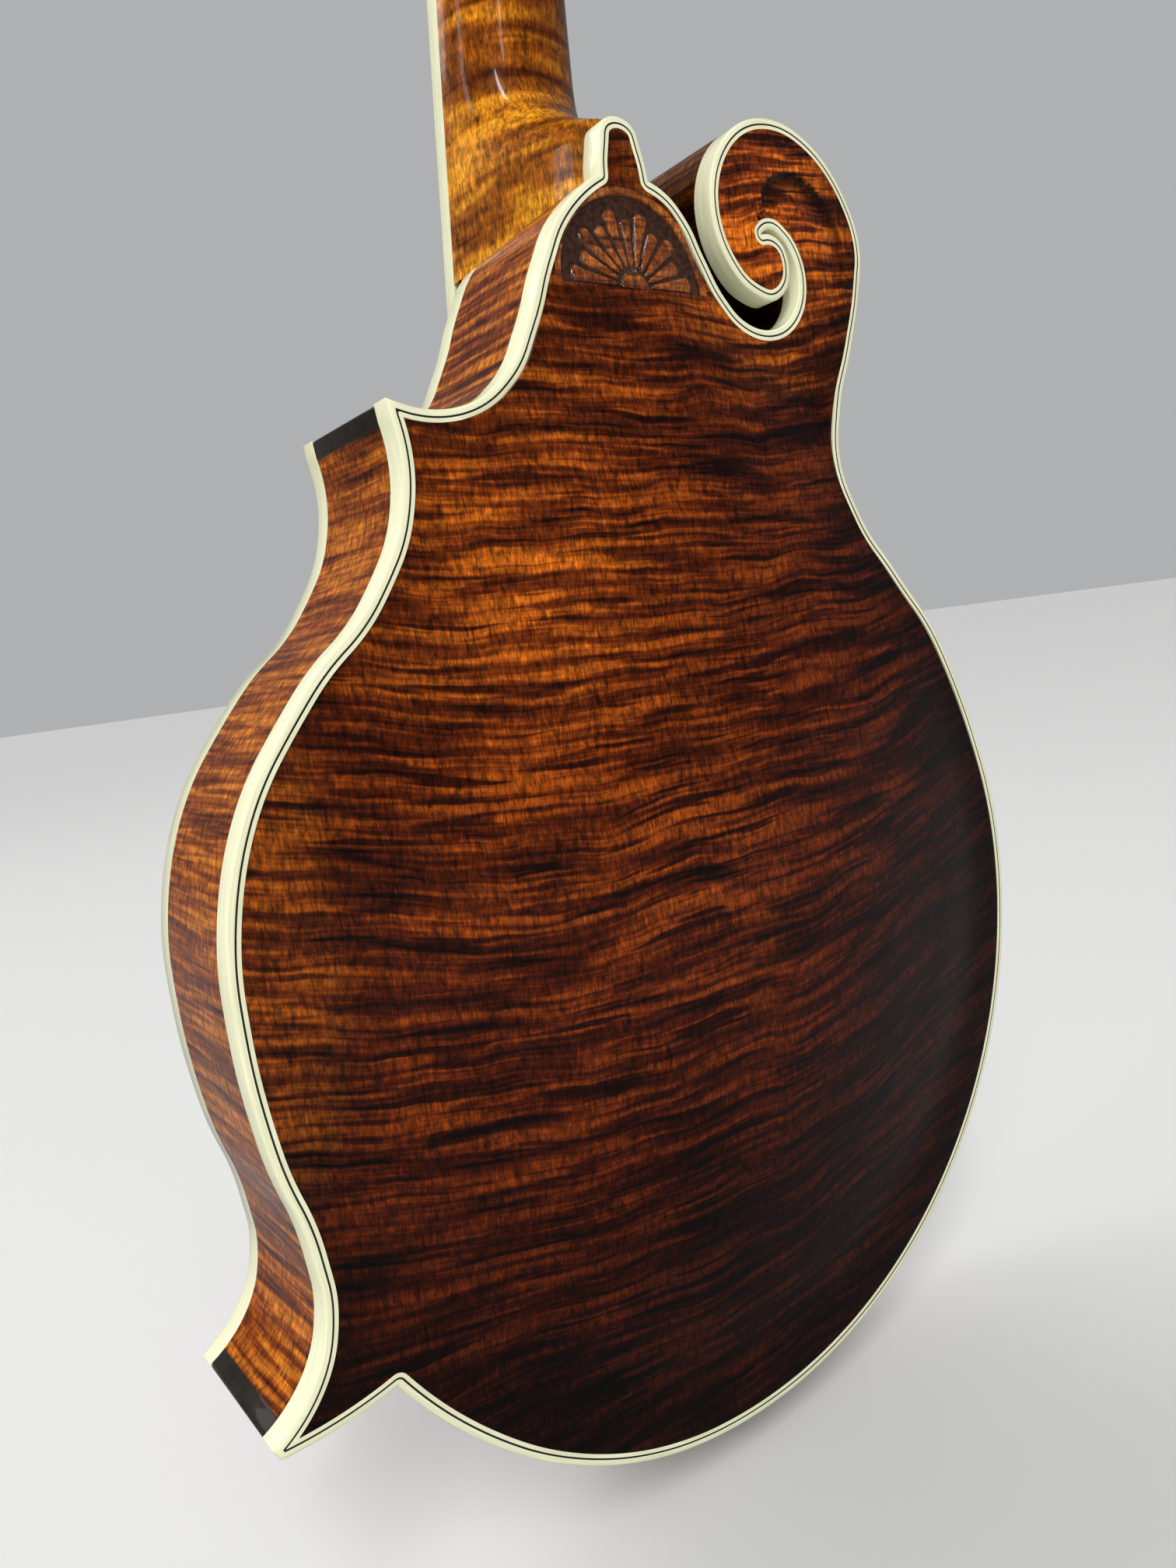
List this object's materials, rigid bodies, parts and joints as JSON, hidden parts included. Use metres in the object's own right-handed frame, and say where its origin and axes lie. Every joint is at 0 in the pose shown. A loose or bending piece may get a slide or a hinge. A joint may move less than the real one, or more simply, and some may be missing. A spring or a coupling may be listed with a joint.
{
  "type": "f-style mandolin",
  "caption": "F-style mandolin with a scroll, two points, carved back and top, bound edges, neck with tuners, movable bridge and a slide-off tailpiece cover.",
  "frame": {"origin": "the point where the end pin's axis meets the tail rim, halfway through the rim's depth", "axes": "+Z from the tail along the neck, -Y out of the soundboard, +Y out of the back, +X towards the two body points (the treble side)"},
  "size_m": [0.26, 0.1266, 0.7065],
  "materials": {
    "back_maple": "glossy varnish",
    "spruce": "glossy varnish",
    "ivoroid": "polished",
    "ebony": "satin",
    "side_maple": "glossy varnish",
    "inner_wood": "raw",
    "neck_maple": "glossy varnish",
    "nickel_silver": "polished",
    "bone": "satin",
    "black_veneer": "glossy",
    "steel": "plain",
    "brass": "plain",
    "black_plastic": "glossy",
    "nickel": "polished",
    "string_bronze": "wound",
    "tuner_pearl": "pearly"
  },
  "bodies": {
    "instrument": {"back_binding": "ivoroid", "back_plate": "back_maple", "bridge_base": "ebony", "bridge_studs": "brass", "end_pin": "ebony", "fingerboard": "ebony", "fingerboard_binding": "ivoroid", "frets": "nickel_silver", "head_block": "inner_wood", "lower_point_block": "inner_wood", "lower_point_cap": "ebony", "neck": "neck_maple", "nut": "bone", "peghead_binding": "ivoroid", "peghead_overlay": "black_veneer", "rib_bass": "side_maple", "rib_lower_treble": "side_maple", "rib_scroll": "side_maple", "rib_shoulder": "side_maple", "rib_waist": "side_maple", "strings": "string_bronze", "tail_block": "inner_wood", "tailpiece_frame": "nickel", "tone_bars": "spruce", "top_binding": "ivoroid", "top_plate": "spruce", "truss_rod": "steel", "truss_rod_cover": "black_plastic", "truss_rod_nut": "brass", "tuner_plate_bass": "nickel", "tuner_plate_treble": "nickel", "upper_point_block": "inner_wood", "upper_point_cap": "ebony"},
    "tuner_button_1": {"tuner_button_1": "tuner_pearl"},
    "tuner_post_1": {"tuner_post_1": "nickel"},
    "tuner_button_2": {"tuner_button_2": "tuner_pearl"},
    "tuner_post_2": {"tuner_post_2": "nickel"},
    "tuner_button_3": {"tuner_button_3": "tuner_pearl"},
    "tuner_post_3": {"tuner_post_3": "nickel"},
    "tuner_button_4": {"tuner_button_4": "tuner_pearl"},
    "tuner_post_4": {"tuner_post_4": "nickel"},
    "tuner_button_5": {"tuner_button_5": "tuner_pearl"},
    "tuner_post_5": {"tuner_post_5": "nickel"},
    "tuner_button_6": {"tuner_button_6": "tuner_pearl"},
    "tuner_post_6": {"tuner_post_6": "nickel"},
    "tuner_button_7": {"tuner_button_7": "tuner_pearl"},
    "tuner_post_7": {"tuner_post_7": "nickel"},
    "tuner_button_8": {"tuner_button_8": "tuner_pearl"},
    "tuner_post_8": {"tuner_post_8": "nickel"},
    "bridge_wheel_bass": {"bridge_wheel_bass": "nickel"},
    "bridge_wheel_treble": {"bridge_wheel_treble": "nickel"},
    "bridge_saddle": {"bridge_saddle": "ebony"},
    "tailpiece_cover": {"tailpiece_cover": "nickel"}
  },
  "joints": [
    {"name": "button_turn_1", "type": "hinge", "parent": "instrument", "child": "tuner_button_1", "pos_m": [-0.015, 0.02545, 0.55411], "axis": [-1, 0, 0], "continuous": true},
    {"name": "post_turn_1", "type": "hinge", "parent": "instrument", "child": "tuner_post_1", "pos_m": [-0.015, 0.00626, 0.55323], "axis": [0, 0.9336, -0.3584], "continuous": true},
    {"name": "button_turn_2", "type": "hinge", "parent": "instrument", "child": "tuner_button_2", "pos_m": [-0.015, 0.03369, 0.57558], "axis": [-1, 0, 0], "continuous": true},
    {"name": "post_turn_2", "type": "hinge", "parent": "instrument", "child": "tuner_post_2", "pos_m": [-0.015, 0.0145, 0.5747], "axis": [0, 0.9336, -0.3584], "continuous": true},
    {"name": "button_turn_3", "type": "hinge", "parent": "instrument", "child": "tuner_button_3", "pos_m": [-0.015, 0.04194, 0.59706], "axis": [-1, 0, 0], "continuous": true},
    {"name": "post_turn_3", "type": "hinge", "parent": "instrument", "child": "tuner_post_3", "pos_m": [-0.015, 0.02275, 0.59617], "axis": [0, 0.9336, -0.3584], "continuous": true},
    {"name": "button_turn_4", "type": "hinge", "parent": "instrument", "child": "tuner_button_4", "pos_m": [-0.015, 0.05018, 0.61853], "axis": [-1, 0, 0], "continuous": true},
    {"name": "post_turn_4", "type": "hinge", "parent": "instrument", "child": "tuner_post_4", "pos_m": [-0.015, 0.03099, 0.61765], "axis": [0, 0.9336, -0.3584], "continuous": true},
    {"name": "button_turn_5", "type": "hinge", "parent": "instrument", "child": "tuner_button_5", "pos_m": [0.015, 0.02545, 0.55411], "axis": [1, 0, 0], "continuous": true},
    {"name": "post_turn_5", "type": "hinge", "parent": "instrument", "child": "tuner_post_5", "pos_m": [0.015, 0.00626, 0.55323], "axis": [0, 0.9336, -0.3584], "continuous": true},
    {"name": "button_turn_6", "type": "hinge", "parent": "instrument", "child": "tuner_button_6", "pos_m": [0.015, 0.03369, 0.57558], "axis": [1, 0, 0], "continuous": true},
    {"name": "post_turn_6", "type": "hinge", "parent": "instrument", "child": "tuner_post_6", "pos_m": [0.015, 0.0145, 0.5747], "axis": [0, 0.9336, -0.3584], "continuous": true},
    {"name": "button_turn_7", "type": "hinge", "parent": "instrument", "child": "tuner_button_7", "pos_m": [0.015, 0.04194, 0.59706], "axis": [1, 0, 0], "continuous": true},
    {"name": "post_turn_7", "type": "hinge", "parent": "instrument", "child": "tuner_post_7", "pos_m": [0.015, 0.02275, 0.59617], "axis": [0, 0.9336, -0.3584], "continuous": true},
    {"name": "button_turn_8", "type": "hinge", "parent": "instrument", "child": "tuner_button_8", "pos_m": [0.015, 0.05018, 0.61853], "axis": [1, 0, 0], "continuous": true},
    {"name": "post_turn_8", "type": "hinge", "parent": "instrument", "child": "tuner_post_8", "pos_m": [0.015, 0.03099, 0.61765], "axis": [0, 0.9336, -0.3584], "continuous": true},
    {"name": "saddle_height", "type": "slide", "parent": "instrument", "child": "bridge_saddle", "axis": [0, 1, 0], "range_m": [0, 0.0016]},
    {"name": "wheel_turn_bass", "type": "hinge", "parent": "bridge_saddle", "child": "bridge_wheel_bass", "pos_m": [-0.036, 0, 0.16362], "axis": [0, 1, 0], "range_deg": [-1, 721]},
    {"name": "wheel_turn_treble", "type": "hinge", "parent": "bridge_saddle", "child": "bridge_wheel_treble", "pos_m": [0.036, 0, 0.16362], "axis": [0, 1, 0], "range_deg": [-1, 721]},
    {"name": "cover_slide", "type": "slide", "parent": "instrument", "child": "tailpiece_cover", "axis": [0, -0.1392, 0.9903], "range_m": [0, 0.03]}
  ],
  "couplings": [
    {"joint": "post_turn_1", "follows": "button_turn_1", "ratio": 0.071429},
    {"joint": "post_turn_2", "follows": "button_turn_2", "ratio": 0.071429},
    {"joint": "post_turn_3", "follows": "button_turn_3", "ratio": 0.071429},
    {"joint": "post_turn_4", "follows": "button_turn_4", "ratio": 0.071429},
    {"joint": "post_turn_5", "follows": "button_turn_5", "ratio": -0.071429},
    {"joint": "post_turn_6", "follows": "button_turn_6", "ratio": -0.071429},
    {"joint": "post_turn_7", "follows": "button_turn_7", "ratio": -0.071429},
    {"joint": "post_turn_8", "follows": "button_turn_8", "ratio": -0.071429},
    {"joint": "wheel_turn_bass", "follows": "saddle_height", "rad_per_m": 7854},
    {"joint": "wheel_turn_treble", "follows": "saddle_height", "rad_per_m": 7854}
  ]
}
